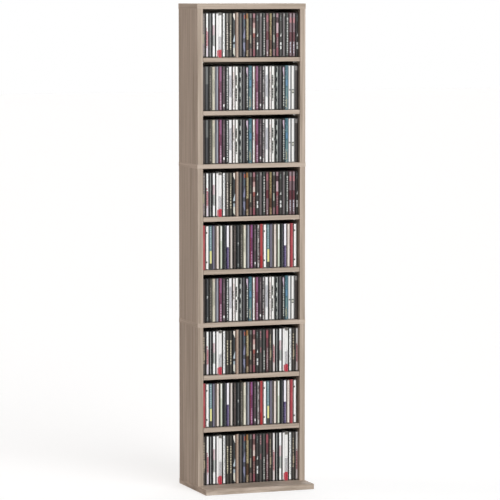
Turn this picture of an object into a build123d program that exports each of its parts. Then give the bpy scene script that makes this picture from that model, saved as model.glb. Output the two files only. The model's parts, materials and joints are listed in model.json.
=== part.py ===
from build123d import *
import os

# A tall, narrow storage tower for discs in their cases. Three lengths of side panel stand between
# full width boards, six loose shelves rest on pins, and nine rows of cases stand in the tower.
# Millimetres. The front faces -Y and +Z is up. The origin is on the floor, under the middle of the
# tower's outline.

# The cases, which set the room inside
case_thickness = 9.9
case_depth = 142.0
case_height = 125.0
tall_case_height = 140.0  # the bottom row
case_setback = 13.0  # from the tower's front to the spines
rear_air = 5.0  # behind the cases
side_air = 0.3  # between the left panel and the first case
tight_air = 0.03  # between two cases in a full row
loose_air = 0.2  # between two cases in a row with room to spare
spare_slot = 5.0  # least room left at the right end of a loose row
finger_gap = 11.0  # above the cases
top_finger_gap = 9.5  # above the cases in the top row
loose_rows = (5, 8)
single_case_x = -5.0  # in each row the case that stands here is the one that pulls out alone

# Boards
board_width = 322.0
board_overhang = 0.7  # each full width board stands proud of the side panels by this
side_thickness = 16.0
end_board_thickness = 15.0  # the top and the base
inner_board_thickness = 12.0  # shelves and middle boards
base_projection = 70.0
edge_radius = 0.6  # along the front edges
shelf_end_gap = 1.0
shelf_setback = 0.8
shelf_rear_gap = 1.5

# Back panels
back_thickness = 3.0
back_side_inset = 2.0
back_end_inset = 2.0
back_joint = 0.5  # between two back panels, behind a middle board

# Fittings
fit_air = 0.05  # all round a fitting in its bore
fitting_inset = 37.0  # from the front and the rear edge of a side panel to its cams
cam_diameter = 15.0
cam_length = 12.0
cam_from_end = 24.0  # from the end of a side panel to the middle of a cam
cam_slot_width = 2.0
cam_slot_length = 9.0
cam_slot_depth = 3.0
bolt_diameter = 5.0
bolt_head_diameter = 6.6
bolt_head_length = 4.0
bolt_bore = 7.0
bolt_thread = 10.0  # how far a bolt is screwed into the top or the base
dowel_diameter = 8.0
dowel_in_panel = 20.0
dowel_in_board = 10.0
dowel_end_air = 0.5
pin_diameter = 5.0
pin_in_panel = 9.0
pin_inset = 30.0  # from the front and the rear edge of a side panel
pin_drop = 4.0  # from a shelf's underside to the middle of its pins
pin_collar_diameter = 7.0
pin_collar_length = 0.6
pin_tongue_length = 9.0
pin_tongue_width = 6.0
nail_diameter = 1.6
nail_length = 14.0
nail_head_diameter = 3.2
nail_head_length = 0.8
nail_edge = 5.0  # from a back panel's side edge
nails_up_side = 4
nails_across = 2

# What follows from them
row_count = 9
rows_in_section = 3
section_count = row_count // rows_in_section
section_rows = {s: [rows_in_section * (s - 1) + i + 1 for i in range(rows_in_section)]
                for s in range(1, section_count + 1)}
carcass_depth = case_setback + case_depth + rear_air
total_depth = base_projection + carcass_depth + back_thickness
carcass_front = base_projection - total_depth / 2
carcass_back = carcass_front + carcass_depth
base_front = -total_depth / 2
inner_width = board_width - 2 * board_overhang - 2 * side_thickness
half_inner = inner_width / 2
half_board = board_width / 2

case_heights = {row: case_height for row in range(1, row_count + 1)}
case_heights[row_count] = tall_case_height
clear_heights = {row: case_heights[row] + finger_gap for row in case_heights}
clear_heights[1] = case_height + top_finger_gap

row_floor = {}
level = end_board_thickness
for row in range(row_count, 0, -1):
    row_floor[row] = level
    level += clear_heights[row] + inner_board_thickness
top_underside = level - inner_board_thickness

section_bottom = {s: row_floor[section_rows[s][-1]] for s in section_rows}
section_top = {s: row_floor[section_rows[s][0]] + clear_heights[section_rows[s][0]] for s in section_rows}

panel_sides = {"left": -1, "right": 1}
cam_ys = (carcass_front + fitting_inset, carcass_back - fitting_inset)
pin_ys = (carcass_front + pin_inset, carcass_back - pin_inset)
dowel_y = (carcass_front + carcass_back) / 2
panel_middle = half_inner + side_thickness / 2
shelf_rows = [row for row in range(1, row_count) if row % rows_in_section]
middle_rows = [row for row in range(1, row_count) if row % rows_in_section == 0]


def block(x, y, z):
    """A box from three pairs of limits."""
    size = (x[1] - x[0], y[1] - y[0], z[1] - z[0])
    return Pos(x[0], y[0], z[0]) * Box(*size, align=(Align.MIN, Align.MIN, Align.MIN))


def rod(start, direction, diameter, length):
    """A cylinder that starts at a point and runs along a direction."""
    low = (Align.CENTER, Align.CENTER, Align.MIN)
    return Plane(origin=start, z_dir=direction) * Cylinder(diameter / 2, length, align=low)


def soften(board, front, axis):
    """Rounds a board's front edges that run along one axis."""
    edges = board.edges().filter_by(axis).filter_by(lambda edge: abs(edge.center().Y - front) < edge_radius)
    return fillet(edges, edge_radius)


def cut(board, tools):
    """A board less its bores, as one solid."""
    return (board - tools if tools else board).solid()


def save(name, solids):
    """Writes one node, as a solid or as a group of separate solids."""
    shape = solids[0] if len(solids) == 1 else Compound(children=solids)
    shape.label = name
    export_step(shape, f"parts/{name}.step")


def joint_places():
    """Each joint between a side panel and a board: the panel's middle, its end and the way into the panel."""
    for side in panel_sides.values():
        for s in section_rows:
            yield side * panel_middle, section_bottom[s], 1
            yield side * panel_middle, section_top[s], -1


def nail_places(s):
    """Where one back panel is nailed: up both sides, and across into the boards above and below."""
    low, high = back_limits(s)
    x_edge = half_board - back_side_inset - nail_edge
    inside = (section_bottom[s] + cam_from_end / 2, section_top[s] - cam_from_end / 2)
    for side in panel_sides.values():
        for i in range(nails_up_side):
            yield side * x_edge, inside[0] + (inside[1] - inside[0]) * i / (nails_up_side - 1)
    for z in ((low + section_bottom[s]) / 2, (high + section_top[s]) / 2):
        for i in range(nails_across):
            yield inner_width * ((i + 1) / (nails_across + 1) - 0.5), z


def back_limits(s):
    """The lower and the upper edge of one back panel."""
    half_board_thickness = inner_board_thickness / 2
    low = section_bottom[s] - half_board_thickness + back_joint / 2
    high = section_top[s] + half_board_thickness - back_joint / 2
    if s == section_count:
        low = back_end_inset
    if s == 1:
        high = top_underside + end_board_thickness - back_end_inset
    return low, high


def nail_bores(low, high):
    """The nails' holes in whatever lies between two heights behind the carcass."""
    return [
        rod((x, carcass_back, z), (0, -1, 0), nail_diameter + 2 * fit_air, nail_length)
        for s in section_rows
        for x, z in nail_places(s)
        if low < z < high
    ]


def side_panel(side, s):
    """One length of side panel, with its cam pockets, bolt and dowel bores, pin holes and nail holes."""
    bottom, top = section_bottom[s], section_top[s]
    x = sorted((side * half_inner, side * (half_inner + side_thickness)))
    panel = soften(block(x, (carcass_front, carcass_back), (bottom, top)), carcass_front, Axis.Z)
    bores = nail_bores(bottom, top)
    bores = [bore for bore in bores if bore.center().X * side > half_inner]
    for end, way in ((bottom, 1), (top, -1)):
        for y in cam_ys:
            cam_z = end + way * cam_from_end
            pocket = cam_diameter + 2 * fit_air
            bores.append(rod((side * half_inner, y, cam_z), (side, 0, 0), pocket, cam_length + fit_air))
            bores.append(rod((side * panel_middle, y, end), (0, 0, way), bolt_bore, cam_from_end))
        start = (side * panel_middle, dowel_y, end)
        bores.append(rod(start, (0, 0, way), dowel_diameter + 2 * fit_air, dowel_in_panel))
    for row in section_rows[s]:
        if row in shelf_rows:
            for y in pin_ys:
                z = row_floor[row] - inner_board_thickness - pin_drop
                start = (side * half_inner, y, z)
                bores.append(rod(start, (side, 0, 0), pin_diameter + 2 * fit_air, pin_in_panel + fit_air))
    return cut(panel, bores)


def full_board(low, high, front, through):
    """A full width board, bored for bolts and dowels from the panels above or below it, or right through."""
    board = soften(block((-half_board, half_board), (front, carcass_back), (low, high)), front, Axis.X)
    bores = nail_bores(low, high)
    for x, end, way in joint_places():
        if low <= end <= high:
            deep_bolt = high - low if through else bolt_thread + dowel_end_air
            deep_dowel = high - low if through else dowel_in_board
            for y in cam_ys:
                bores.append(rod((x, y, end), (0, 0, -way), bolt_diameter + 2 * fit_air, deep_bolt))
            bores.append(rod((x, dowel_y, end), (0, 0, -way), dowel_diameter + 2 * fit_air, deep_dowel))
    return cut(board, bores)


def shelf(row):
    """A loose shelf, under one row of cases."""
    high = row_floor[row]
    reach = half_inner - shelf_end_gap
    front = carcass_front + shelf_setback
    y = (front, carcass_back - shelf_rear_gap)
    board = block((-reach, reach), y, (high - inner_board_thickness, high))
    return soften(board, front, Axis.X).solid()


def back_panel(s):
    """One thin back panel, with a seat for each nail's head."""
    reach = half_board - back_side_inset
    rear = carcass_back + back_thickness
    panel = block((-reach, reach), (carcass_back, rear), back_limits(s))
    bores = []
    for x, z in nail_places(s):
        bores.append(rod((x, rear, z), (0, -1, 0), nail_diameter + 2 * fit_air, back_thickness))
        bores.append(rod((x, rear, z), (0, -1, 0), nail_head_diameter + 2 * fit_air, nail_head_length))
    return cut(panel, bores)


def nail(x, z):
    """A flat headed nail, its head flush with the back panel."""
    rear = carcass_back + back_thickness
    shank = rod((x, rear, z), (0, -1, 0), nail_diameter, nail_length)
    return (shank + rod((x, rear, z), (0, -1, 0), nail_head_diameter, nail_head_length)).solid()


def cam_housing(side, y, end, way):
    """A cam, turned home, with a bore for the bolt's head and a cross slot in its face."""
    z = end + way * cam_from_end
    face = side * half_inner
    cam = rod((face, y, z), (side, 0, 0), cam_diameter, cam_length)
    mouth = (side * panel_middle, y, z - way * cam_diameter)
    bore = rod(mouth, (0, 0, way), bolt_bore, cam_diameter + bolt_head_length)
    deep = sorted((face, face + side * cam_slot_depth))
    slots = [
        block(deep, (y - a / 2, y + a / 2), (z - b / 2, z + b / 2))
        for a, b in ((cam_slot_width, cam_slot_length), (cam_slot_length, cam_slot_width))
    ]
    return cut(cam, [bore] + slots)


def bolt_head(x, y, end, way):
    """A bolt's head, held in the middle of its cam."""
    z = end + way * (cam_from_end - bolt_head_length / 2)
    return rod((x, y, z), (0, 0, way), bolt_head_diameter, bolt_head_length)


def cam_bolt(x, y, end, way):
    """A bolt screwed into the top or the base board, with its head in a cam."""
    start = (x, y, end - way * bolt_thread)
    shank = rod(start, (0, 0, way), bolt_diameter, bolt_thread + cam_from_end)
    return (shank + bolt_head(x, y, end, way)).solid()


def double_bolt(x, y, row):
    """A bolt through a middle board, with a head in the cam above and in the cam below."""
    high = row_floor[row]
    low = high - inner_board_thickness
    shank = rod((x, y, low - cam_from_end), (0, 0, 1), bolt_diameter, high - low + 2 * cam_from_end)
    return (shank + bolt_head(x, y, high, 1) + bolt_head(x, y, low, -1)).solid()


def dowels():
    """A wooden dowel at each joint; those in the middle boards run through into both side panels."""
    pieces = []
    in_panel = dowel_in_panel - dowel_end_air
    in_board = dowel_in_board - dowel_end_air
    for side in panel_sides.values():
        x = side * panel_middle
        for end, way in ((end_board_thickness, 1), (top_underside, -1)):
            start = (x, dowel_y, end - way * in_board)
            pieces.append(rod(start, (0, 0, way), dowel_diameter, in_board + in_panel))
        for row in middle_rows:
            low = row_floor[row] - inner_board_thickness - in_panel
            length = inner_board_thickness + 2 * in_panel
            pieces.append(rod((x, dowel_y, low), (0, 0, 1), dowel_diameter, length))
    return pieces


def shelf_pin(side, y, row):
    """A pin with a collar and a flat tongue that the shelf lies on."""
    under = row_floor[row] - inner_board_thickness
    z = under - pin_drop
    face = side * half_inner
    inside = rod((face, y, z), (side, 0, 0), pin_diameter, pin_in_panel)
    collar = rod((face, y, z), (-side, 0, 0), pin_collar_diameter, pin_collar_length)
    tongue_x = sorted((face, face - side * (pin_collar_length + pin_tongue_length)))
    half_tongue = pin_tongue_width / 2
    tongue = block(tongue_x, (y - half_tongue, y + half_tongue), (z, under))
    return (inside + collar + tongue).solid()


def row_of_cases(row):
    """All the cases of one row, from the left, as plain closed blocks."""
    loose = row in loose_rows
    pitch = case_thickness + (loose_air if loose else tight_air)
    room = inner_width - 2 * side_air - (spare_slot if loose else 0)
    first = side_air - half_inner
    front = carcass_front + case_setback
    floor = row_floor[row]
    return [
        block(
            (first + i * pitch, first + i * pitch + case_thickness),
            (front, front + case_depth),
            (floor, floor + case_heights[row]),
        ).solid()
        for i in range(int(room // pitch))
    ]


os.makedirs("parts", exist_ok=True)

save("top_board", [full_board(top_underside, top_underside + end_board_thickness, carcass_front, False)])
save("base_board", [full_board(0, end_board_thickness, base_front, False)])
for number, row in enumerate(middle_rows, 1):
    high = row_floor[row]
    save(f"middle_board_{number}", [full_board(high - inner_board_thickness, high, carcass_front, True)])

for name, side in panel_sides.items():
    for s in section_rows:
        save(f"side_{name}_{s}", [side_panel(side, s)])

for number, row in enumerate(shelf_rows, 1):
    save(f"shelf_{number}", [shelf(row)])

for s in section_rows:
    save(f"back_panel_{s}", [back_panel(s)])

save("back_nails", [nail(x, z) for s in section_rows for x, z in nail_places(s)])
save("cam_housings", [cam_housing(1 if x > 0 else -1, y, end, way)
                      for x, end, way in joint_places() for y in cam_ys])
save("cam_bolts", [cam_bolt(x, y, end, way) for x, end, way in joint_places() for y in cam_ys
                   if end in (end_board_thickness, top_underside)])
save("double_cam_bolts", [double_bolt(side * panel_middle, y, row)
                          for side in panel_sides.values() for y in cam_ys for row in middle_rows])
save("dowels", dowels())
save("shelf_pins", [shelf_pin(side, y, row)
                    for side in panel_sides.values() for y in pin_ys for row in shelf_rows])

for row in range(1, row_count + 1):
    cases = row_of_cases(row)
    single = min(cases, key=lambda case: abs(case.center().X - single_case_x))
    save(f"row_{row}_cases", [case for case in cases if case is not single])
    save(f"row_{row}_single_case", [single])
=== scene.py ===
import json
import math
import random

import bmesh
import bpy
from mathutils import Matrix, Vector


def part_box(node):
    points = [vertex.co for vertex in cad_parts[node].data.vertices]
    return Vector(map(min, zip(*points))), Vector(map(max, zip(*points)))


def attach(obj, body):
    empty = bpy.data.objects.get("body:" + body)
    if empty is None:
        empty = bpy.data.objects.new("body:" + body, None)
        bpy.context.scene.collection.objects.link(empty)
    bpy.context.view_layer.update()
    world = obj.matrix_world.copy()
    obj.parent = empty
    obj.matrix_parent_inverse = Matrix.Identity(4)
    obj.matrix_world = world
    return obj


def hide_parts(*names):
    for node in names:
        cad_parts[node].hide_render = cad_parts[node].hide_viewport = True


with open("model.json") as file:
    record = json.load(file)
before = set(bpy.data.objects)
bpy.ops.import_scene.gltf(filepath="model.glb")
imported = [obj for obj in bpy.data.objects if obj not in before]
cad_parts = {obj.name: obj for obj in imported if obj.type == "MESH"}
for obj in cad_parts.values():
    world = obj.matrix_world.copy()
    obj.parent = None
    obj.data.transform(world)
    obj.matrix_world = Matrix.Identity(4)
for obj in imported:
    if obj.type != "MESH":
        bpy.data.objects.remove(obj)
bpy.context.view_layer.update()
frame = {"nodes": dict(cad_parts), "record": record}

mm = 0.001  # sizes below are in millimetres, the scene is in metres
nodes = frame["nodes"]


def linear(hexCode):  # sRGB hex to the linear numbers that shaders work in
    parts = [int(hexCode[i:i + 2], 16) / 255 for i in (0, 2, 4)]
    return [p / 12.92 if p <= 0.04045 else ((p + 0.055) / 1.055) ** 2.4 for p in parts] + [1.0]


# Inputs are a dictionary by name or number, or a list in the node's own order. Each is a value, a socket or a
# whole node, which gives its first output.
def fill(tree, node, inputs):
    for name, value in inputs.items() if isinstance(inputs, dict) else enumerate(inputs):
        if isinstance(value, bpy.types.Node):
            value = value.outputs[0]
        if isinstance(value, bpy.types.NodeSocket):
            tree.links.new(value, node.inputs[name])
        else:
            node.inputs[name].default_value = value


def addNode(tree, kind, inputs=(), stops=(), **settings):  # stops: the places and colours of a colour ramp
    node = tree.nodes.new(f"ShaderNode{kind}")
    for name, value in settings.items():
        setattr(node, name, value)
    fill(tree, node, inputs)
    for i, (place, hexCode) in enumerate(stops):
        if i > 1:  # a new ramp has two stops
            node.color_ramp.elements.new(place)
        node.color_ramp.elements[i].position = place
        node.color_ramp.elements[i].color = linear(hexCode)
    return node


def newMaterial(name, gloss):  # a Principled one, its tree and shader, and where a point is on the object
    material = bpy.data.materials.new(name)
    material.use_nodes = True
    tree = material.node_tree
    shader = tree.nodes["Principled BSDF"]
    fill(tree, shader, gloss)
    return material, tree, shader, addNode(tree, "TexCoord").outputs["Object"]


softNoise = {"Scale": 1.0, "Detail": 3.0, "Roughness": 0.6}  # its size comes from the pitch below
noiseMiddle = (0.3, 0.7)  # the range that most of it lies in


def perMetre(pitch):  # how often a pattern with this pitch in mm repeats in a metre, along x, y and z
    return [1 / (length * mm) for length in pitch]


camera = {
    "place": (-2.906, -7.926, 1.415),  # metres
    "yaw": 20.21,
    "pitchDown": 5.032,
    "focalPixels": 3009.6,  # in an image 500 wide
    "imageWidth": 500,
    "sensor": 36.0,
}


def makeCamera():
    data = bpy.data.cameras.new("camera")
    data.sensor_width = camera["sensor"]
    data.lens = camera["focalPixels"] * camera["sensor"] / camera["imageWidth"]
    item = bpy.data.objects.new("camera", data)
    item.location = camera["place"]
    item.rotation_euler = (math.radians(90 - camera["pitchDown"]), 0, -math.radians(camera["yaw"]))
    bpy.context.scene.collection.objects.link(item)
    bpy.context.scene.camera = item


light = {
    "keyFrom": (0.17, -0.6, 0.2),  # towards the softbox
    "keyLevel": 0.72,  # brightness of a white card facing it
    "keySpread": 46.0,
    "keyColour": "ffffff",
    "sideFrom": (-0.8, 0.4, 0.3),  # a second one behind the left side, so that the shelves' ends stay dark
    "sideLevel": 0.23,
    "sideSpread": 30.0,
    "sideColour": "ffe2cf",  # a little warmer, as the tower's side is
    "backFrom": (0.3, 0.8, 0.5),  # and a weak one for the back
    "backLevel": 0.3,
    "backSpread": 60.0,
    "backColour": "ffffff",
    "accentAt": (0.45, -2.3, 1.95),  # a smaller lamp over the camera's line, for the upper shelves
    "accentAim": (0, 0, 1.2),
    "accentPower": 5.0,
    "accentSize": 0.9,
    "roomLevel": 0.28,
    "roomColour": "ffffff",
    "backdropLevel": 1.0,
    "backdropColour": "ffffff",
}


def seenDirectly(tree):  # 1 for camera, mirror and see-through rays, which all show the white backdrop
    ray = addNode(tree, "LightPath").outputs
    direct = addNode(tree, "Math", [ray["Is Camera Ray"], ray["Is Glossy Ray"]], operation="MAXIMUM")
    return addNode(tree, "Math", [direct, ray["Is Transmission Ray"]], operation="MAXIMUM")


def makeLight():
    for name in ("key", "side", "back"):
        lamp = bpy.data.lights.new(f"{name} softbox", "SUN")
        lamp.energy = light[f"{name}Level"] * math.pi
        lamp.color = linear(light[f"{name}Colour"])[:3]
        lamp.angle = math.radians(light[f"{name}Spread"])
        item = bpy.data.objects.new(f"{name} softbox", lamp)
        item.rotation_euler = Vector(light[f"{name}From"]).to_track_quat("Z", "Y").to_euler()
        bpy.context.scene.collection.objects.link(item)

    lamp = bpy.data.lights.new("accent", "AREA")
    lamp.energy = light["accentPower"]
    lamp.size = light["accentSize"]
    item = bpy.data.objects.new("accent", lamp)
    item.location = light["accentAt"]
    away = item.location - Vector(light["accentAim"])
    item.rotation_euler = away.to_track_quat("Z", "Y").to_euler()
    bpy.context.scene.collection.objects.link(item)

    world = bpy.data.worlds.new("studio")
    world.use_nodes = True
    tree = world.node_tree
    tree.nodes.clear()
    room = addNode(tree, "Background", [linear(light["roomColour"]), light["roomLevel"]])
    backdrop = addNode(tree, "Background", [linear(light["backdropColour"]), light["backdropLevel"]])
    both = addNode(tree, "MixShader", [seenDirectly(tree), room, backdrop])
    addNode(tree, "OutputWorld", [both])
    bpy.context.scene.world = world


floor = {
    "reach": 30.0,  # metres
    "drop": 0.2,  # mm below the tower
    "paper": "bcbcbc",
    "lift": "ffffff",  # added where it is seen, so that it runs into the white backdrop
    "liftLevel": 0.64,
}


def makeFloor():
    bm = bmesh.new()
    bmesh.ops.create_grid(bm, x_segments=2, y_segments=2, size=floor["reach"],
                          matrix=Matrix.Translation((0, 0, -floor["drop"] * mm)))
    mesh = bpy.data.meshes.new("floor")
    bm.to_mesh(mesh)
    bm.free()
    item = bpy.data.objects.new("floor", mesh)
    bpy.context.scene.collection.objects.link(item)
    # a roll of white background paper: dead matt and even, with a soft shadow under the tower
    material = bpy.data.materials.new("pale paper sweep")
    material.use_nodes = True
    tree = material.node_tree
    tree.nodes.clear()
    paper = addNode(tree, "BsdfDiffuse", [linear(floor["paper"])])
    glow = addNode(tree, "Emission", [linear(floor["lift"]), floor["liftLevel"]])
    lifted = addNode(tree, "AddShader", [paper, glow])
    both = addNode(tree, "MixShader", [seenDirectly(tree), paper, lifted])
    addNode(tree, "OutputMaterial", [both])
    mesh.materials.append(material)


makeCamera()
makeLight()
makeFloor()
bpy.context.scene.view_settings.view_transform = "Standard"
print("camera, light and floor are in")

oakDecor = {
    "stops": [(0.12, "958577"), (0.42, "ad9e8f"), (0.6, "b9a99a"), (0.88, "c7b8aa")],
    "figure": (15.0, 500.0),  # across and along the grain, mm: broad bands
    "streak": (2.6, 240.0),  # fine growth lines, drawn twice their real width so that they show
    "pore": (0.9, 16.0),  # open pores, drawn coarser than the real 0.3
    "streakShare": 0.62,
    "toneRange": (0.3, 0.7),
    "boardShift": {"base_board": -0.03, "top_board": -0.045, "shelf_1": 0.03, "shelf_2": -0.07,
                   "shelf_3": -0.06, "shelf_5": 0.01, "shelf_6": -0.025, "middle_board_1": -0.09,
                   "middle_board_2": -0.04, "side_left_3": 0.03},  # a board's tone: less is lighter
    "ownGrain": {"base_board": {"figure": (13.0, 90.0), "streakShare": 0.3, "toneRange": (0.33, 0.67)}},
    "slip": 3.0,  # metres that the print is moved at most, so that no two boards are alike
    "poreRange": (0.6, 0.72),  # where in the noise a pore begins and is fully open
    "poreShow": 0.45,
    "poreColour": "8b7a6c",
    "poreDepth": 0.04,
    "bandThickness": 0.8,  # the edge band on a front edge
    "seamWidth": 0.12,
    "seamShow": 0.7,
    "seamColour": "6e6155",
    "roughness": (0.58, 0.46),
    "gloss": {"IOR": 1.5, "Specular IOR Level": 0.12},
}


def alongGrain(size, axis):  # (across, along) in mm as a pitch for x, y and z
    pitch = [size[0]] * 3
    pitch[axis] = size[1]
    return pitch


def oakMaterial(node, axis):
    # melamine paper pressed on chipboard: satin, an even greyish oak whose printed grain can just be felt
    values = {**oakDecor, **oakDecor["ownGrain"].get(node, {})}
    material, tree, shader, place = newMaterial(f"oak decor {node}", values["gloss"])
    chance = random.Random(node)
    slip = [chance.uniform(-values["slip"], values["slip"]) for i in range(3)]
    slipped = addNode(tree, "VectorMath", [place, slip])
    normal = addNode(tree, "NewGeometry").outputs["Normal"]
    sideways = addNode(tree, "SeparateXYZ", [normal]).outputs["X"]
    sideways = addNode(tree, "Math", [sideways], operation="ABSOLUTE")
    onEnd = addNode(tree, "Math", [sideways, 0.5], operation="GREATER_THAN")
    layers = []
    for key in ("figure", "streak", "pore"):
        prints = []
        for along in (axis, 1) if axis == 0 else (axis,):  # the band on a board's end runs front to back
            pitch = perMetre(alongGrain(values[key], along))
            scaled = addNode(tree, "VectorMath", [slipped, pitch], operation="MULTIPLY")
            prints.append(addNode(tree, "TexNoise", {"Vector": scaled, **softNoise}))
        if axis == 0:
            layers.append(addNode(tree, "Mix", {0: onEnd, 2: prints[0], 3: prints[1]}))
        else:
            layers += prints
    figure, streak, pore = layers
    tone = addNode(tree, "Mix", {0: values["streakShare"], 2: figure, 3: streak})
    toneRange = [limit + values["boardShift"].get(node, 0) for limit in values["toneRange"]]
    tone = addNode(tree, "MapRange", [tone, *toneRange])
    colour = addNode(tree, "ValToRGB", [tone], values["stops"])
    openPore = addNode(tree, "MapRange", [pore, *values["poreRange"]])
    openPore = addNode(tree, "Math", [openPore, values["poreShow"]], operation="MULTIPLY")
    colour = addNode(tree, "Mix", {0: openPore, 6: colour, 7: linear(values["poreColour"])},
                     data_type="RGBA").outputs[2]
    depth = addNode(tree, "SeparateXYZ", [place]).outputs["Y"]
    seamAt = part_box(node)[0].y + values["bandThickness"] * mm
    offSeam = addNode(tree, "Math", [depth, seamAt], operation="SUBTRACT")
    offSeam = addNode(tree, "Math", [offSeam], operation="ABSOLUTE")
    seam = addNode(tree, "MapRange", [offSeam, 0.0, values["seamWidth"] * mm, values["seamShow"], 0.0])
    colour = addNode(tree, "Mix", {0: seam, 6: colour, 7: linear(values["seamColour"])},
                     data_type="RGBA").outputs[2]
    rough = addNode(tree, "MapRange", [streak, *noiseMiddle, *values["roughness"]])
    level = addNode(tree, "MapRange", [pore, *values["poreRange"], 1.0, 0.0])
    relief = addNode(tree, "Bump", {"Height": level, "Distance": values["poreDepth"] * mm})
    fill(tree, shader, {"Base Color": colour, "Roughness": rough, "Normal": relief})
    return material


def dress(node, material):
    mesh = nodes[node].data
    if not mesh.materials:
        mesh.materials.append(material)
    for slot in nodes[node].material_slots:
        slot.material = material


for node in nodes:
    if node.startswith("side_"):
        dress(node, oakMaterial(node, 2))
    elif "board" in node or node.startswith("shelf_") and node != "shelf_pins":
        dress(node, oakMaterial(node, 0))
print("boards are dressed in oak decor")

hardboard = {
    "stops": [(0.2, "8d6f55"), (0.5, "9a7b5f"), (0.85, "aa8a6c")],
    "lacquer": "8f8375",  # the front face, printed and lacquered to go with the boards
    "fibre": (1.2, 9.0),  # mm, fibres pressed flat, drawn three times as wide as real
    "layer": 5.0,  # their pitch through the sheet
    "fibreDetail": 4.0,
    "cloud": 60.0,
    "cloudDetail": 2.0,
    "cloudShare": 0.22,
    "toneRange": (0.3, 0.75),
    "feltRange": (0.4, 0.7),
    "roughness": (0.75, 0.9),
    "relief": 0.08,
    "gloss": {"IOR": 1.5},
}


def hardboardMaterial():
    # wet-pressed wood fibre: matt brown felt of short fibres behind, a plain lacquer in front
    values = hardboard
    material, tree, shader, place = newMaterial("pressed hardboard", values["gloss"])
    width, length = values["fibre"]
    patterns = []
    for pitch, detail in (((width, values["layer"], length), values["fibreDetail"]),
                          ((length, values["layer"], width), values["fibreDetail"]),
                          ([values["cloud"]] * 3, values["cloudDetail"])):
        scaled = addNode(tree, "VectorMath", [place, perMetre(pitch)], operation="MULTIPLY")
        patterns.append(addNode(tree, "TexNoise", {"Vector": scaled, **softNoise, "Detail": detail}))
    upright, level, cloud = patterns
    felt = addNode(tree, "Math", [upright, level], operation="MAXIMUM")
    tone = addNode(tree, "Mix", {0: values["cloudShare"], 2: felt, 3: cloud})
    tone = addNode(tree, "MapRange", [tone, *values["toneRange"]])
    brown = addNode(tree, "ValToRGB", [tone], values["stops"])
    normal = addNode(tree, "NewGeometry").outputs["Normal"]
    facing = addNode(tree, "SeparateXYZ", [normal]).outputs["Y"]
    front = addNode(tree, "Math", [facing, -0.5], operation="LESS_THAN")
    colour = addNode(tree, "Mix", {0: front, 6: brown, 7: linear(values["lacquer"])},
                     data_type="RGBA").outputs[2]
    rough = addNode(tree, "MapRange", [felt, *values["feltRange"], *values["roughness"]])
    relief = addNode(tree, "Bump", {"Height": felt, "Distance": values["relief"] * mm})
    fill(tree, shader, {"Base Color": colour, "Roughness": rough, "Normal": relief})
    return material


metals = {
    # pressure die cast alloy: dull silver with the grainy skin of the mould
    "die cast zinc": {"stops": [(0.3, "a3a4a5"), (0.7, "bcbdbe")], "cell": 1.5,
                      "roughness": (0.38, 0.55), "relief": 0.03, "gloss": {"Metallic": 1.0}},
    # cold headed and brightly plated: clean mirror streaks and a faint warm cast
    "zinc plated steel": {"stops": [(0.3, "b9babb"), (0.7, "d2d1cd")], "cell": 4.0,
                          "roughness": (0.2, 0.34), "relief": 0.005, "gloss": {"Metallic": 1.0}},
}


def metalMaterial(name):
    values = metals[name]
    material, tree, shader, place = newMaterial(name, values["gloss"])
    scaled = addNode(tree, "VectorMath", [place, perMetre([values["cell"]] * 3)], operation="MULTIPLY")
    skin = addNode(tree, "TexNoise", {"Vector": scaled, **softNoise})
    colour = addNode(tree, "ValToRGB", [skin], values["stops"])
    rough = addNode(tree, "MapRange", [skin, *noiseMiddle, *values["roughness"]])
    relief = addNode(tree, "Bump", {"Height": skin, "Distance": values["relief"] * mm})
    fill(tree, shader, {"Base Color": colour, "Roughness": rough, "Normal": relief})
    return material


beech = {
    "stops": [(0.3, "c79f75"), (0.7, "dcb98f")],
    "fleck": (0.5, 3.0),  # mm, across and along
    "flutePitch": 2.6,  # slanting grooves, drawn twice as wide as real
    "fluteDepth": 0.2,
    "roughness": (0.55, 0.7),
    "gloss": {"IOR": 1.5},
}


def flutedBeech():
    # turned beech with pressed flutes: pinkish tan, matt, with the short dark flecks of beech
    values = beech
    material, tree, shader, place = newMaterial("fluted beech", values["gloss"])
    pitch = perMetre(alongGrain(values["fleck"], 2))
    scaled = addNode(tree, "VectorMath", [place, pitch], operation="MULTIPLY")
    fleck = addNode(tree, "TexNoise", {"Vector": scaled, **softNoise})
    colour = addNode(tree, "ValToRGB", [fleck], values["stops"])
    rough = addNode(tree, "MapRange", [fleck, *noiseMiddle, *values["roughness"]])
    often = math.tau / 10 / (values["flutePitch"] * mm)  # slanting bands repeat every tau / 10
    flutes = addNode(tree, "TexWave", {"Vector": place, "Scale": often},
                     bands_direction="DIAGONAL").outputs["Fac"]
    relief = addNode(tree, "Bump", {"Height": flutes, "Distance": values["fluteDepth"] * mm})
    fill(tree, shader, {"Base Color": colour, "Roughness": rough, "Normal": relief})
    return material


hardboardPanel = hardboardMaterial()
for node in nodes:
    if node.startswith("back_panel"):
        dress(node, hardboardPanel)
dress("cam_housings", metalMaterial("die cast zinc"))
steel = metalMaterial("zinc plated steel")
for node in ("cam_bolts", "double_cam_bolts", "shelf_pins", "back_nails"):
    dress(node, steel)
dress("dowels", flutedBeech())
print("back panels and fittings are dressed")

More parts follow.
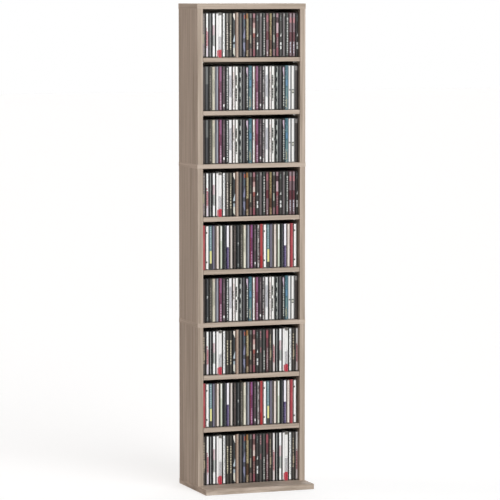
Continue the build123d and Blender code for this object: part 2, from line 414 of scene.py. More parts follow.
caseShell = {
    "lidPlate": 1.2,  # the lid's cover, on the left of each case
    "lidWall": 1.1,  # its top, bottom and rear walls
    "lidReach": 7.2,  # how far those walls reach over the base
    "hingeArm": 13.0,
    "hingeReach": 5.4,
    "baseStart": 3.2,  # from the lid's face to the base
    "armAir": 0.25,
    "round": 0.25,
    "barSink": 1.3,  # the tray's ribbed bar, seen between the lid and the base
    "barWidth": 12.0,
    "frame": 0.3,  # plastic round the windows of the spines
    "sideFrame": 0.6,  # and round the large ones of the sides
    "sink": 0.4,  # how far a window lies behind the face
    "cardThickness": 0.2,
    "label": (3.75, 9.4),  # where a spine's card lies across the case
    "labelLimits": (3.5, 0.3),  # from the case's sides
    "labelMargin": 3.2,  # bare plastic above and below it
    "fieldShow": 0.2,  # how much of the card's field shows through the base
}
cardSleeve = {"inset": 0.25, "board": 0.7, "trayInset": 1.6, "round": 0.3, "margin": 0.5}


def slab(bm, low, high, part, roundBy):  # a block with softened edges, mm from the case's lower left corner
    low, high = Vector(low), Vector(high)
    matrix = Matrix.Translation((low + high) / 2) @ Matrix.Diagonal((*(high - low), 1))
    made = bmesh.ops.create_cube(bm, size=1.0, matrix=matrix)["verts"]
    for vert in made:
        for face in vert.link_faces:
            face.material_index = part
    if roundBy:
        edges = dict.fromkeys(edge for vert in made for edge in vert.link_edges)  # each once, in order
        made = bmesh.ops.bevel(bm, geom=list(edges), offset=roundBy, segments=1, affect="EDGES",
                               profile=0.5, clamp_overlap=True)
        for face in made["faces"]:
            face.material_index = part


def sinkWindow(bm, towards, within, frameWidth, depth):  # insets the largest face that looks one way
    towards = Vector(towards)
    bm.normal_update()
    square, near = 0.99, 0.01  # how exactly it looks that way, and mm from the plane that it lies in
    faces = [face for face in bm.faces if face.normal.dot(towards) > square
             and abs(face.calc_center_median().dot(towards) - within) < near]
    face = max(faces, key=lambda one: one.calc_area())
    bmesh.ops.inset_region(bm, faces=[face], thickness=frameWidth, depth=-depth, use_even_offset=True)


# parts of the two templates, which are also their places in the list of materials
lidPart, barPart, basePart, boardPart, trayPart = range(5)


def shellTemplate(size):  # one hinged case's plastic, in mm
    values = caseShell
    bm = bmesh.new()
    thick, deep, high = size
    wall, plate, soft, air = values["lidWall"], values["lidPlate"], values["round"], values["armAir"]
    start, arm = values["baseStart"], values["hingeArm"]
    frameWidth, sideFrame, sink = values["frame"], values["sideFrame"], values["sink"]
    under, over = wall + air, high - wall - air
    slab(bm, (0, 0, 0), (plate, deep, high), lidPart, soft)
    sinkWindow(bm, (-1, 0, 0), 0, sideFrame, sink)
    slab(bm, (start, 0, under), (thick, deep, over), basePart, soft)
    sinkWindow(bm, (0, -1, 0), 0, frameWidth, sink)
    sinkWindow(bm, (0, 1, 0), deep, frameWidth, sink)
    sinkWindow(bm, (1, 0, 0), thick, sideFrame, sink)
    for low, top in ((0, wall), (high - wall, high)):
        slab(bm, (plate, arm, low), (values["lidReach"], deep, top), lidPart, soft)
        slab(bm, (plate, soft, low), (values["hingeReach"], arm - air, top), lidPart, soft)
    slab(bm, (plate, deep - wall, wall), (start - air, deep, high - wall), lidPart, soft)
    slab(bm, (plate, values["barSink"], under), (start, values["barWidth"], over), barPart, 0)
    slab(bm, (sink / 2, sideFrame, sideFrame), (sink, values["barWidth"], high - sideFrame), barPart, 0)
    return bm


def sleeveTemplate(size):  # a folded card sleeve round a dark tray, in mm
    values = cardSleeve
    bm = bmesh.new()
    thick, deep, high = size
    gap, soft = values["inset"], values["round"]
    board = gap + values["board"]
    for left, right in ((gap, board), (thick - board, thick - gap)):
        slab(bm, (left, gap, gap), (right, deep, high - gap), boardPart, soft)
    slab(bm, (gap, gap, gap), (thick - gap, board, high - gap), boardPart, soft)
    tray = values["trayInset"]
    slab(bm, (board, board, tray), (thick - board, deep - tray, high - tray), trayPart, soft)
    return bm


# Made-up spines, plain fields and blocks. The field fills the card; left and right are strips (colour, share
# of the width); bands are (begin, end, colour) from the top down; patches add their left and right sides, and
# wedges the other ends of their left side too; marks are runs of dashes about one line across the card,
# specks scattered dots. A span is where the card lies across the case and a sleeve its margin, in mm. The
# edge is the tone of the tray or of the sleeve's card.
spineDesigns = {
    "whitePlain": {"field": "efefef", "sleeve": 2.2, "span": (3.1, 9.2), "right": ("8f9193", 0.36),
                   "patches": [(0.54, 0.57, 0.1, 0.9, "6f6f66")], "edge": "77787a"},
    "whiteWaist": {"field": "f3f3f0", "sleeve": 2.2, "span": (2.7, 8.5), "edge": "5f6062",
                   "bands": [(0.54, 0.63, "c9c9bd")],
                   "patches": [(0.54, 0.56, 0, 1, "62625a"), (0.61, 0.63, 0, 1, "62625a")]},
    "whiteWide": {"field": "f7f6f5", "span": (4.1, 9.6), "patches": [(0.86, 1, 0.45, 1, "c04450")]},
    "whiteCool": {"field": "f4f4f5", "sleeve": 2.6, "span": (2.4, 9.4), "edge": "2a2b2d",
                  "bands": [(0.2, 0.7, "ccccd2")], "specks": [(0.18, 0.72, "9d9da5")]},
    "whiteRose": {"field": "f8faf9", "span": (4.7, 9.5), "marks": [(0.34, 0.8, "a8525f", 0.2)],
                  "bands": [(0.42, 0.76, "c69ba3"), (0.76, 1, "e2d8e2")]},
    "whiteCoral": {"field": "f3efee", "span": (4.7, 9.3), "marks": [(0.36, 0.78, "9a5359", 0.2)],
                   "bands": [(0.4, 0.8, "caa3a6"), (0.8, 1, "e0d5d6")]},
    "whitePink": {"field": "fbf8f6", "edge": "3a3430", "span": (3.6, 9.1), "right": ("b5afab", 0.15),
                  "bands": [(0.12, 0.3, "e4d8d5"), (0.5, 0.66, "fbfaf9")],
                  "specks": [(0.35, 0.95, "b9aeab")], "marks": [(0.3, 0.5, "8f8684", 0.25)]},
    "whitePaleFoot": {"field": "fcfdfd", "bands": [(0.27, 0.5, "ddcdd0"), (0.5, 0.76, "bcbfbc")],
                      "patches": [(0.27, 0.5, 0, 0.3, "b5949b"), (0.5, 0.74, 0, 0.3, "6f7472")]},
    "whiteRedFoot": {"field": "f9f9f7", "sleeve": 0.35, "right": ("8f8d88", 0.06),
                     "bands": [(0.0, 0.06, "76736d"), (0.54, 0.84, "c6c5c6")],
                     "specks": [(0.0, 0.07, "45433f"), (0.5, 0.84, "85838a")],
                     "patches": [(0.825, 1, 0, 1, "bd3c4b"), (0.06, 0.5, 0.35, 0.45, "bdbbb7")],
                     "marks": [(0.88, 0.98, "a43442", 0.5)]},
    "whiteMottled": {"field": "f9fbfa", "span": (3.7, 9.7), "right": ("cfd1d1", 0.25),
                     "specks": [(0.04, 0.9, "8f9394")]},
    "whiteInk": {"field": "f5f5f2", "sleeve": 2.6, "span": (2.2, 8.8), "edge": "202020",
                 "right": ("cacac4", 0.2), "bands": [(0.22, 0.74, "a2a29c")],
                 "patches": [(0.22, 0.74, 0.7, 1, "f1f1ec"), (0.44, 0.5, 0, 1, "f6f6f2")],
                 "marks": [(0.2, 0.42, "1c1c1a", 0.3), (0.52, 0.8, "1c1c1a", 0.3)]},
    "whiteSpecks": {"field": "fbfcfa", "sleeve": 2.8, "span": (1.8, 8.3), "edge": "4a4540",
                    "patches": [(0.13, 0.17, 0, 0.5, "4a3f3a"), (0.82, 0.86, 0, 0.5, "4a3f3a")]},
    "whitePurple": {"field": "f8f6fc", "sleeve": 2.2, "span": (2.3, 8.5), "edge": "16112a",
                    "bands": [(0.5, 1, "5d5179")], "patches": [(0.5, 1, 0, 0.25, "332a47")],
                    "marks": [(0.56, 0.96, "7d709c", 0.6)]},
    "whiteLime": {"field": "f7faf3", "left": ("77755f", 0.3), "bands": [(0.35, 1, "d6dfcf")],
                  "span": (2.2, 8.3), "patches": [(0.35, 1, 0, 0.3, "6f6e58")], "edge": "55524a"},
    "ivory": {"field": "e9e5d3", "sleeve": 2.6, "span": (1.6, 9.5), "left": ("a39f84", 0.12),
              "bands": [(0.3, 0.62, "d2cfbe"), (0.0, 0.08, "ddd0c2")], "specks": [(0.1, 0.7, "adab9c")],
              "edge": "38362a"},
    "ivoryDull": {"field": "d3cfbe", "sleeve": 2.6, "span": (1.9, 9.3), "left": ("8f8b72", 0.12),
                  "bands": [(0.3, 0.62, "bcb9a9"), (0.0, 0.08, "c8bcae")], "specks": [(0.1, 0.7, "9a9889")],
                  "edge": "38362a"},
    "creamPink": {"field": "e9dfd6", "sleeve": 2.6, "span": (2.2, 8.4), "left": ("c4b3a9", 0.12),
                  "marks": [(0.12, 0.5, "d3c4ba", 0.6)], "edge": "3b3230"},
    "creamDull": {"field": "dad2cb", "sleeve": 2.6, "span": (2.2, 8.4), "left": ("9b938b", 0.35),
                  "edge": "2e2927"},
    "creamSlate": {"field": "393e40", "edge": "0b0b0b", "span": (4.4, 9.7),
                   "bands": [(0.72, 0.8, "a3b0b8"), (0.8, 0.92, "d6d6cb")],
                   "wedges": [(0, 0.17, 0, 0.07, 0, 1, "efe7dc"), (0.48, 0.66, 0.62, 0.66, 0, 1, "bccad2"),
                              (0.92, 1, 0.92, 0.94, 0, 1, "d5d5c9")]},
    "pinkTopGreen": {"field": "3a3d3c", "edge": "0e0d0f", "marks": [(0.24, 0.95, "c9cdc9", 0.6)],
                     "wedges": [(0.02, 0.27, 0.02, 0.1, 0, 0.9, "cdb9cb")]},
    "greyBands": {"field": "3f4042", "sleeve": 2.6, "span": (2.6, 9.6), "edge": "0e0e0e",
                  "bands": [(0.0, 0.4, "696c6b")], "patches": [(0.4, 1, 0, 0.4, "494b4d")]},
    "greyOliveDashes": {"field": "6a6461", "left": ("5a5350", 0.3), "edge": "3f3936", "span": (3.5, 9.5),
                        "patches": [(0.48, 0.7, 0.1, 0.8, "9c9a7c"), (0.7, 0.98, 0.2, 0.6, "8d7f84")],
                        "marks": [(0.05, 0.95, "978f8b", 0.6)]},
    "greySlate": {"field": "464849", "left": ("a6a8a7", 0.36), "span": (4.7, 9.7), "edge": "1c1e1e",
                  "marks": [(0.4, 0.9, "1c1e20", 0.7)]},
    "greyCreamDashes": {"field": "65615d", "bands": [(0.0, 0.2, "86827c")],
                        "marks": [(0.22, 0.84, "ddd3c8", 0.55)]},
    "oliveCreamDashes": {"field": "4f4d45", "bands": [(0.0, 0.24, "737064")],
                         "marks": [(0.26, 0.84, "cac3ab", 0.5)]},
    "greyPaleBlock": {"field": "413e39", "bands": [(0, 0.08, "7e7f7b"), (0.84, 1, "80656a")],
                      "edge": "14110f", "patches": [(0.5, 0.68, 0.1, 0.75, "a4a99f")],
                      "marks": [(0.3, 0.48, "62645f", 0.4)]},
    "blueGrey": {"field": "77787e", "sleeve": 2.4, "span": (1.4, 8.8), "right": ("a0a3b0", 0.38),
                 "bands": [(0, 0.3, "6b6d71")], "edge": "26272b"},
    "purpleGrey": {"field": "67646f", "sleeve": 2.4, "span": (1.0, 8.4), "left": ("7c798a", 0.45),
                   "right": ("55534c", 0.2), "edge": "272236"},
    "mauveGrey": {"field": "625e5e", "left": ("756d70", 0.4), "bands": [(0.0, 0.07, "8f8d89")],
                  "edge": "2f2b2c"},
    "mauveRose": {"field": "7c686e", "edge": "3a1a1f", "marks": [(0.68, 0.94, "c5c6d2", 0.4)],
                  "bands": [(0, 0.1, "97848a"), (0.1, 0.22, "b07a7f"), (0.44, 0.66, "5f343b")]},
    "lavender": {"field": "4f515c", "span": (4.4, 9.6), "edge": "22232a",
                 "patches": [(0.03, 0.12, 0.45, 1, "a9594a"), (0.16, 0.3, 0.3, 1, "55656f")],
                 "wedges": [(0.34, 0.58, 0.5, 0.58, 0, 1, "82849e"),
                            (0.68, 0.92, 0.68, 0.8, 0, 1, "82849e")]},
    "tan": {"field": "b5a394", "sleeve": 0.35, "span": (2.2, 9.5), "left": ("6d4f3e", 0.25),
            "marks": [(0.1, 0.9, "a58c7b", 0.7)], "edge": "4a362a"},
    "gold": {"field": "7f7055", "edge": "1f1812", "marks": [(0.3, 0.62, "55452e", 0.3)],
             "bands": [(0.24, 0.6, "8a7a57"), (0.62, 0.86, "523a29")],
             "patches": [(0.0, 0.12, 0, 0.6, "a4703c"), (0.12, 0.6, 0.65, 1, "b5a784")],
             "specks": [(0.12, 0.6, "c9bc9b"), (0.86, 1, "cdb3a2")]},
    "goldOlive": {"field": "6f6140", "edge": "1d1810", "specks": [(0.1, 0.5, "c2b386"), (0.84, 1, "cbaa93")],
                  "bands": [(0, 0.12, "8f835e"), (0.4, 0.62, "765e45"), (0.62, 0.84, "553a2b")]},
    "salmon": {"field": "785a5d", "marks": [(0.9, 1, "c8c0c2", 0.5)], "edge": "231413",
               "bands": [(0.04, 0.2, "9d686f"), (0.42, 0.62, "67353b"), (0.62, 0.92, "85696f")]},
    "red": {"field": "ab4a51", "sleeve": 0.35, "span": (1.2, 9.5), "left": ("9a3a42", 0.2),
            "bands": [(0.3, 0.5, "b3555b")], "edge": "5a1d22"},
    "redWide": {"field": "a93d41", "sleeve": 0.35, "span": (1.6, 9.5), "left": ("bb5a58", 0.35),
                "right": ("801c20", 0.12), "patches": [(0.72, 1, 0, 1, "a73134")], "edge": "2c1012"},
    "redBlocks": {"field": "66494b", "edge": "1c1615", "marks": [(0.45, 0.96, "b5a5a8", 0.6)],
                  "bands": [(0.02, 0.2, "9a525b"), (0.2, 0.4, "704249"), (0.6, 0.8, "785558")]},
    "magenta": {"field": "6f425a", "sleeve": 2.2, "span": (0.8, 9.6), "edge": "2a0c14",
                "bands": [(0.0, 0.34, "8f5b7e"), (0.62, 0.8, "80526c"), (0.8, 1, "876175")],
                "left": ("4d1a28", 0.4), "marks": [(0.6, 0.98, "c3a2b7", 0.7), (0.05, 0.5, "7d3145", 0.25)]},
    "plum": {"field": "713a60", "sleeve": 2.2, "span": (0.4, 9.5), "edge": "20080f",
             "bands": [(0.0, 0.3, "8f5587"), (0.7, 1, "7f4a70")], "left": ("45141f", 0.34),
             "marks": [(0.62, 0.98, "c596b5", 0.7), (0.05, 0.9, "7d3145", 0.2)]},
    "pinkBlocks": {"field": "6a4c49", "edge": "1f0a0e", "marks": [(0.58, 0.84, "9d7f7b", 0.5)],
                   "bands": [(0, 0.1, "a3747c"), (0.22, 0.34, "c29c98"), (0.34, 0.46, "d8c8bf"),
                             (0.46, 0.56, "95564f"), (0.84, 1, "8b505a")]},
    "roseBlocks": {"field": "6d494d", "edge": "17080b", "marks": [(0.56, 0.8, "a58186", 0.5)],
                   "bands": [(0, 0.09, "a08188"), (0.09, 0.22, "4d343a"), (0.22, 0.46, "c6aab1"),
                             (0.46, 0.56, "85484f"), (0.8, 1, "864d56")]},
    "teal": {"field": "426a78", "sleeve": 1.6, "left": ("2a4a55", 0.3), "right": ("5b7f88", 0.2),
             "patches": [(0.32, 0.46, 0.3, 1, "5f88a8"), (0.5, 0.74, 0.35, 0.85, "6c8c8a"),
                         (0.76, 0.94, 0.2, 0.9, "7f8472")],
             "specks": [(0.1, 0.3, "82a5ad"), (0.7, 1, "c3c3b4")]},
    "tealLemon": {"field": "6d888b", "sleeve": 2.4, "span": (0.4, 8.4), "left": ("47626a", 0.2),
                  "edge": "35494c", "marks": [(0.02, 0.56, "a9c2c9", 0.55)],
                  "patches": [(0.58, 0.87, 0.25, 0.95, "e2df97"), (0.87, 1, 0, 1, "47463f")]},
    "slate": {"field": "525254", "left": ("66676b", 0.3), "edge": "1f1f21"},
    "darkSlate": {"field": "5a5553", "left": ("686462", 0.4), "edge": "2c2a2a",
                  "patches": [(0.1, 0.22, 0.3, 0.8, "5c6256")]},
    "darkPlain": {"field": "393d3d", "left": ("2b2f2f", 0.25), "edge": "1c2020"},
    "darkOlive": {"field": "4d4b46", "right": ("605e57", 0.25), "edge": "1c1a15",
                  "marks": [(0.2, 0.95, "7a776e", 0.4)]},
    "brownGrey": {"field": "554c49", "left": ("463c3a", 0.3), "edge": "1f1a18",
                  "marks": [(0.1, 0.6, "6d6460", 0.6)]},
    "brownDark": {"field": "3f3835", "left": ("4e4744", 0.3), "edge": "100e0d"},
    "brownLast": {"field": "453f3c", "sleeve": 2.4, "span": (2.6, 9.4), "bands": [(0.0, 0.1, "8b8784")],
                  "edge": "1c1a1a"},
    "slateDots": {"field": "4c4f51", "left": ("232426", 0.3), "edge": "0f1112",
                  "marks": [(0.4, 0.46, "c2c5c6", 0.5), (0.9, 0.97, "8a9090", 0.5)]},
    "darkDot": {"field": "57494f", "edge": "2b2629", "marks": [(0.1, 0.6, "7d7277", 0.5)],
                "patches": [(0.875, 0.93, 0.2, 0.8, "fbfbfb"), (0.94, 0.965, 0.3, 0.6, "9d9da0"),
                            (0.2, 0.28, 0.3, 0.8, "81777c")]},
    "darkDashes": {"field": "3b3d3e", "marks": [(0.02, 0.97, "d3d5d4", 0.6)], "edge": "17191a"},
    "paleDashes": {"field": "c2bdbd", "span": (3.9, 8.6), "edge": "17191a", "right": ("4a4546", 0.15),
                   "marks": [(0.08, 0.3, "2b2426", 0.4), (0.42, 0.6, "2b2426", 0.5),
                             (0.72, 0.9, "5b2f38", 0.4)],
                   "specks": [(0.1, 0.9, "6d6264")]},
    "darkLowDashes": {"field": "4b4d4b", "marks": [(0.5, 0.97, "c3c7c3", 0.6)], "edge": "1d201f"},
    "darkTanDashes": {"field": "4b4743", "marks": [(0.12, 0.75, "a89c87", 0.4)], "edge": "221d1b",
                      "patches": [(0.5, 0.66, 0.3, 0.9, "a3977e")]},
    "darkCreamDashes": {"field": "474540", "marks": [(0.22, 0.8, "d3c9ae", 0.5)], "edge": "171512"},
    "greenDashes": {"field": "423f3a", "bands": [(0, 0.1, "6b6c66"), (0.82, 1, "6f5956")],
                    "edge": "0f0d0b", "patches": [(0.5, 0.7, 0.15, 0.75, "928f80")],
                    "marks": [(0.3, 0.48, "56604f", 0.4)]},
    "greenTallDashes": {"field": "424744", "marks": [(0.1, 0.96, "c6c6c4", 0.6)], "edge": "1f2321"},
    "greenDots": {"field": "6c706e", "right": ("cdd0ce", 0.14), "edge": "232826",
                  "patches": [(0.03, 0.13, 0, 0.5, "262a29"), (0.14, 0.24, 0.1, 0.7, "b4b9b6"),
                              (0.26, 0.34, 0, 0.6, "151717"), (0.38, 0.46, 0.2, 0.7, "c2c6c4"),
                              (0.5, 0.58, 0.05, 0.6, "151717"), (0.62, 0.7, 0.1, 0.6, "aeb3b0"),
                              (0.76, 0.82, 0.1, 0.65, "151717"), (0.85, 0.92, 0.2, 0.6, "a5aaa7")]},
    "whiteBlocks": {"field": "403f3d", "edge": "150c0e", "marks": [(0.05, 0.18, "6b7473", 0.5)],
                    "patches": [(0.68, 0.84, 0.25, 0.9, "e6e8e7"), (0.74, 0.76, 0.25, 0.9, "8d908e")],
                    "wedges": [(0.46, 0.54, 0.53, 0.54, 0.3, 0.8, "e6e8e6")]},
    "pinkMarks": {"field": "53504f", "patches": [(0.42, 0.54, 0.3, 0.8, "8a6066")],
                  "marks": [(0.03, 0.24, "a67e84", 0.5)], "edge": "242122"},
}

olderRow = """greyOliveDashes whiteRose greySlate whitePaleFoot whiteWide whiteRedFoot whiteMottled
    greyCreamDashes oliveCreamDashes creamSlate tan darkSlate lavender gold greenDashes pinkBlocks whiteBlocks
    mauveGrey greenTallDashes salmon goldOlive greyPaleBlock roseBlocks whiteBlocks mauveGrey greenTallDashes
    mauveRose mauveRose whiteBlocks""".split()
mixedRow = """darkTanDashes whiteRose greySlate whitePaleFoot whiteWide whiteRedFoot whiteMottled
    darkCreamDashes darkCreamDashes creamSlate tan darkSlate lavender gold greenDashes pinkBlocks whiteBlocks
    pinkMarks darkLowDashes redBlocks darkTanDashes whiteCoral greySlate whitePaleFoot whiteWide whiteRedFoot
    whiteMottled darkTanDashes whiteCoral""".split()
coolRow = """brownDark greyBands darkOlive ivoryDull blueGrey magenta darkDot darkDashes whiteCool whitePink
    whiteInk greenDots slate pinkTopGreen teal whitePink magenta darkDot paleDashes whiteCool whitePink
    whiteInk greenDots slate pinkTopGreen teal whitePlain whiteWaist brownLast""".split()
brightRow = """red whiteSpecks tealLemon purpleGrey creamPink whiteLime darkPlain whitePurple creamDull
    brownGrey slateDots darkOlive ivory blueGrey plum darkDot paleDashes redWide whiteSpecks tealLemon
    purpleGrey creamPink whiteLime darkPlain whitePurple creamPink red whiteSpecks""".split()
rowSpines = {1: olderRow, 2: coolRow, 3: coolRow, 4: olderRow, 5: brightRow,
             6: ["brownDark", "slateDots"] + coolRow[2:], 7: mixedRow, 8: brightRow, 9: mixedRow}
# how far the cards have slipped sideways, in mm, at a row's first and last case
rowSlip = {2: (0.3, -2.2), 3: (0.3, -1.8), 5: (1.5, 1.3), 6: (0.3, -2.0), 8: (1.5, 1.3)}
plainEdge = "191816"

ink = {"layer": 0.03, "dashLength": (2.4, 6.5), "dashGap": (1.2, 3.0), "dashWidth": (2.0, 3.3),
       "speckSize": (0.6, 1.7), "speckStep": (0.5, 1.7)}  # mm
coverBlocks = {"most": 3, "from": 0.12, "step": 0.27, "stray": (0, 0.08), "height": (0.06, 0.18),
               "left": (0.08, 0.3), "width": (0.35, 0.6)}  # shares of a cover's height and width


def newPrint():
    return {"points": [], "faces": [], "colours": []}


def printBlock(sheet, surface, across, up, layer, hexCode, leftUp=None):
    lift = layer * ink["layer"]
    thin = ink["layer"] if layer else caseShell["cardThickness"]
    start = len(sheet["points"])
    for rise in (lift - thin, lift):
        for end in (0, 1):
            for u, limits in zip(across, (leftUp or up, up)):  # a wedge has other ends on its left side
                sheet["points"].append(surface(u, limits[end], rise))
                sheet["colours"].append(linear(hexCode))
    for face in ((0, 1, 3, 2), (4, 6, 7, 5), (0, 4, 5, 1), (2, 3, 7, 6), (0, 2, 6, 4), (1, 5, 7, 3)):
        sheet["faces"].append([start + i for i in face])


def printSpine(sheet, surface, across, up, design, chance):  # everything on one spine, in layers
    width, height = across[1] - across[0], up[1] - up[0]

    def block(begin, end, left, right, hexCode, layer, leftEnds=None):  # shares from the top and the left
        printBlock(sheet, surface, (across[0] + left * width, across[0] + right * width),
                   (up[1] - end * height, up[1] - begin * height), layer, hexCode,
                   leftEnds and (up[1] - leftEnds[1] * height, up[1] - leftEnds[0] * height))

    block(0, 1, 0, 1, design["field"], 0)
    for begin, end, hexCode in design.get("bands", []):
        block(begin, end, 0, 1, hexCode, 1)
    if "left" in design:
        hexCode, share = design["left"]
        block(0, 1, 0, share, hexCode, 2)
    if "right" in design:
        hexCode, share = design["right"]
        block(0, 1, 1 - share, 1, hexCode, 2)
    for begin, end, left, right, hexCode in design.get("patches", []):
        block(begin, end, left, right, hexCode, 3)
    for begin, end, leftBegin, leftEnd, left, right, hexCode in design.get("wedges", []):
        block(begin, end, left, right, hexCode, 3, (leftBegin, leftEnd))
    for begin, end, hexCode, line in design.get("marks", []):
        at = begin
        while at < end:
            long = chance.uniform(*ink["dashLength"]) / height
            half = chance.uniform(*ink["dashWidth"]) / 2 / width
            block(at, min(at + long, end), line - min(half, line), line + half, hexCode, 4)
            at += long + chance.uniform(*ink["dashGap"]) / height
    for begin, end, hexCode in design.get("specks", []):
        at = begin
        while at < end:
            size = chance.uniform(*ink["speckSize"])
            left = chance.uniform(0, 1 - size / width)
            block(at, at + size / height, left, left + size / width, hexCode, 5)
            at += chance.uniform(*ink["speckStep"]) / height


def printCover(sheet, surface, across, up, design, chance):  # a cover or a back card: plain field and blocks
    width, height = across[1] - across[0], up[1] - up[0]
    printBlock(sheet, surface, across, up, 0, design["field"])
    inks = [band[-1] for band in design.get("bands", []) + design.get("patches", [])]
    inks = inks or [design.get("edge", plainEdge)]
    for i, hexCode in enumerate(inks[:coverBlocks["most"]]):
        share = coverBlocks["from"] + coverBlocks["step"] * i + chance.uniform(*coverBlocks["stray"])
        low = up[0] + height * share
        left = across[0] + width * chance.uniform(*coverBlocks["left"])
        printBlock(sheet, surface, (left, left + width * chance.uniform(*coverBlocks["width"])),
                   (low, low + height * chance.uniform(*coverBlocks["height"])), 1, hexCode)


def printCase(sheet, corner, size, design, slip, chance):  # all the card of one case, sizes in mm
    values = caseShell
    x, y, z = corner
    thick, deep, high = size
    margin = design.get("sleeve", values["labelMargin"])
    spineZ = (margin, high - margin)
    if "sleeve" in design:
        edge = cardSleeve["margin"]
        skin = cardSleeve["inset"] - ink["layer"] * 3  # the print's depth; all its layers stay in the case
        limits = (edge, thick - edge)
        spineX = design.get("span", limits)
        sideY, sideZ = (edge, deep - edge), (edge, high - edge)
    else:
        edge = values["sideFrame"] + values["round"]
        skin = values["sink"] - values["cardThickness"]
        limits = (values["labelLimits"][0], thick - values["labelLimits"][1])
        spineX = design.get("span", values["label"])
        clear = edge * 3  # of the lid's top and bottom walls
        sideY, sideZ = (values["barWidth"] + edge, deep - edge), (clear, high - clear)
        printBlock(sheet, lambda u, v, rise: (x + u, y + deep - skin + rise, z + v), spineX, spineZ, 0,
                   design["field"])  # the spine at the back
    spineX = [min(max(u + slip, limits[0]), limits[1]) for u in spineX]
    printSpine(sheet, lambda u, v, rise: (x + u, y + skin - rise, z + v), spineX, spineZ, design, chance)
    printCover(sheet, lambda u, v, rise: (x + skin - rise, y + u, z + v), sideY, sideZ, design, chance)
    printCover(sheet, lambda u, v, rise: (x + thick - skin + rise, y + u, z + v), sideY, sideZ, design,
               chance)


clearStyrene = {
    "scuff": (0.8, 14.0, 14.0),  # mm: hairline scuffs, drawn far wider than real so that they show
    "scuffRange": (0.5, 0.8),
    "scuffShow": 0.06,
    "scuffColour": "cfd2d4",
    "roughness": (0.16, 0.3),
    "gloss": {"IOR": 1.59, "Specular IOR Level": 0.14},
}


def casePlastic():
    # moulded polystyrene: clear and glassy, so it takes the tone of the tray and card behind it
    values = clearStyrene
    material, tree, shader, place = newMaterial("moulded polystyrene", values["gloss"])
    tint = addNode(tree, "Attribute", attribute_name="tint")
    scaled = addNode(tree, "VectorMath", [place, perMetre(values["scuff"])], operation="MULTIPLY")
    scuff = addNode(tree, "TexNoise", {"Vector": scaled, **softNoise})
    shown = addNode(tree, "MapRange", [scuff, *values["scuffRange"], 0.0, values["scuffShow"]])
    colour = addNode(tree, "Mix", {0: shown, 6: tint, 7: linear(values["scuffColour"])},
                     data_type="RGBA").outputs[2]
    rough = addNode(tree, "MapRange", [scuff, *noiseMiddle, *values["roughness"]])
    fill(tree, shader, {"Base Color": colour, "Roughness": rough})
    return material


trayStyrene = {
    "ribPitch": 1.6,
    "ribDepth": 0.3,
    "ribRange": (0.2, 0.8),
    "grooveShadeShow": (0.75, 0.45),  # share of painted shade, near black, in a groove and on a rib
    # the colour of the painted shade in the grooves, mixed over the tray's own tint
    "groove": "0d0d0d",
    "roughness": (0.4, 0.22),
    "gloss": {"IOR": 1.59, "Specular IOR Level": 0.14},
}


def trayPlastic():
    # black or tinted polystyrene tray: glossy, with fine moulded ribs along the hinge side, and painted shade
    # in the grooves between them
    values = trayStyrene
    material, tree, shader, place = newMaterial("black tray polystyrene", values["gloss"])
    tint = addNode(tree, "Attribute", attribute_name="tint")
    often = math.tau / 20 / (values["ribPitch"] * mm)  # upright bands repeat every tau / 20
    ribs = addNode(tree, "TexWave", {"Vector": place, "Scale": often}, bands_direction="Z").outputs["Fac"]
    # painted shade: the bar is darkened more in the grooves than on the ribs
    shown = addNode(tree, "MapRange", [ribs, *values["ribRange"], *values["grooveShadeShow"]])
    colour = addNode(tree, "Mix", {0: shown, 6: tint, 7: linear(values["groove"])},
                     data_type="RGBA").outputs[2]
    rough = addNode(tree, "MapRange", [ribs, 0.0, 1.0, *values["roughness"]])
    relief = addNode(tree, "Bump", {"Height": ribs, "Distance": values["ribDepth"] * mm})
    fill(tree, shader, {"Base Color": colour, "Roughness": rough, "Normal": relief})
    return material


printedCard = {
    "mottle": (1.4, 1.4, 3.0),  # mm
    "mottleDetail": 4.0,
    "mottleRange": (0.5, 0.7),
    "mottleShow": 0.2,
    "mottleColour": "a09e9a",
    "roughness": (0.4, 0.6),
    "gloss": {"IOR": 1.5, "Specular IOR Level": 0.1, "Coat Weight": 0.18, "Coat Roughness": 0.08,
              "Coat IOR": 1.59},
}


def inlayCard():
    # offset printed card behind clear plastic: even ink with a little mottle, under a wet looking gloss
    values = printedCard
    material, tree, shader, place = newMaterial("printed card", values["gloss"])
    tint = addNode(tree, "Attribute", attribute_name="tint")
    scaled = addNode(tree, "VectorMath", [place, perMetre(values["mottle"])], operation="MULTIPLY")
    mottle = addNode(tree, "TexNoise", {"Vector": scaled, **softNoise, "Detail": values["mottleDetail"]})
    shown = addNode(tree, "MapRange", [mottle, *values["mottleRange"], 0.0, values["mottleShow"]])
    colour = addNode(tree, "Mix", {0: shown, 6: tint, 7: linear(values["mottleColour"])},
                     data_type="RGBA", blend_type="MULTIPLY").outputs[2]
    rough = addNode(tree, "MapRange", [mottle, *noiseMiddle, *values["roughness"]])
    fill(tree, shader, {"Base Color": colour, "Roughness": rough})
    return material


def addPiece(name, mesh, materials, body, replaced):  # a piece of its own, on its body
    for material in materials:
        mesh.materials.append(material)
    item = bpy.data.objects.new(name, mesh)
    bpy.context.scene.collection.objects.link(item)
    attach(item, body)
    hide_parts(replaced)


def setTint(mesh, colours):
    tint = mesh.color_attributes.new("tint", "FLOAT_COLOR", "POINT")
    tint.data.foreach_set("color", [part for colour in colours for part in colour])


def storedTemplate(bm):  # its mesh and the part that each of its points belongs to
    mesh = bpy.data.meshes.new("template")
    bm.to_mesh(mesh)
    bm.free()
    partOf = [lidPart] * len(mesh.vertices)
    for face in mesh.polygons:
        for i in face.vertices:
            partOf[i] = face.material_index
    return mesh, partOf


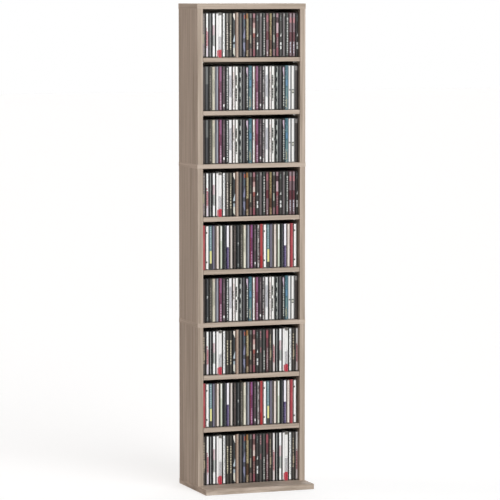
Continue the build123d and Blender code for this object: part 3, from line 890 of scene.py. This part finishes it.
def makeCases(label, body, node, places, designs, slips, materials):
    low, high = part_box(node)
    left, right = places[0]
    size = ((right - left) / mm, (high.y - low.y) / mm, (high.z - low.z) / mm)
    hinged, sleeved = storedTemplate(shellTemplate(size)), storedTemplate(sleeveTemplate(size))
    shells = bmesh.new()
    tints = []
    sheet = newPrint()
    for (left, right), name, slip in zip(places, designs, slips):
        design = spineDesigns[name]
        corner = (left / mm, low.y / mm, low.z / mm)
        template, partOf = sleeved if "sleeve" in design else hinged
        before = len(shells.verts)
        shells.from_mesh(template)
        shells.verts.ensure_lookup_table()
        bmesh.ops.translate(shells, verts=shells.verts[before:], vec=corner)
        edge, field = linear(design.get("edge", plainEdge)), linear(design["field"])
        show = caseShell["fieldShow"]
        behind = [(1 - show) * a + show * b for a, b in zip(edge, field)]
        partTint = {lidPart: edge, barPart: edge, basePart: behind, trayPart: linear(plainEdge),
                    boardPart: edge if "edge" in design else field}
        tints += [partTint[part] for part in partOf]
        printCase(sheet, corner, size, design, slip, random.Random(f"{label} {left:.4f}"))
    bmesh.ops.scale(shells, vec=(mm, mm, mm), verts=shells.verts)
    mesh = bpy.data.meshes.new(f"{label}_shells")
    shells.to_mesh(mesh)
    shells.free()
    setTint(mesh, tints)
    addPiece(f"{label}_shells", mesh, materials["shell"], body, node)

    cards = bpy.data.meshes.new(f"{label}_cards")
    cards.from_pydata([Vector(point) * mm for point in sheet["points"]], [], sheet["faces"])
    setTint(cards, sheet["colours"])
    bm = bmesh.new()
    bm.from_mesh(cards)
    bmesh.ops.recalc_face_normals(bm, faces=bm.faces)
    bm.to_mesh(cards)
    bm.free()
    addPiece(f"{label}_cards", cards, materials["card"], body, node)
    for template, partOf in (hinged, sleeved):
        bpy.data.meshes.remove(template)


def caseLimits(node):  # the left and right sides of each case in a row
    sides = sorted({round(vert.co.x, 6) for vert in nodes[node].data.vertices})
    return list(zip(sides[0::2], sides[1::2]))


def makeRows():
    clear, tray, card = casePlastic(), trayPlastic(), inlayCard()
    materials = {"shell": [clear, tray, clear, card, tray], "card": [card]}  # shell: lidPart to trayPart
    bodies = frame["record"]["behaviour"]["bodies"]
    bodyOf = {node: body for body, group in bodies.items() for node in group}
    for row, spines in rowSpines.items():
        many, single = f"row_{row}_cases", f"row_{row}_single_case"
        lone = caseLimits(single)[0]
        rest = caseLimits(many)
        places = sorted(rest + [lone])
        first, last = rowSlip.get(row, (0, 0))
        spines = dict(zip(places, spines))
        slips = {place: first + (last - first) * i / (len(places) - 1) for i, place in enumerate(places)}
        for name, node, group in ((f"row_{row}_discs", many, rest), (f"row_{row}_single", single, [lone])):
            makeCases(name, bodyOf[node], node, group, [spines[place] for place in group],
                      [slips[place] for place in group], materials)
        print(f"row {row}: {len(places)} cases")


makeRows()
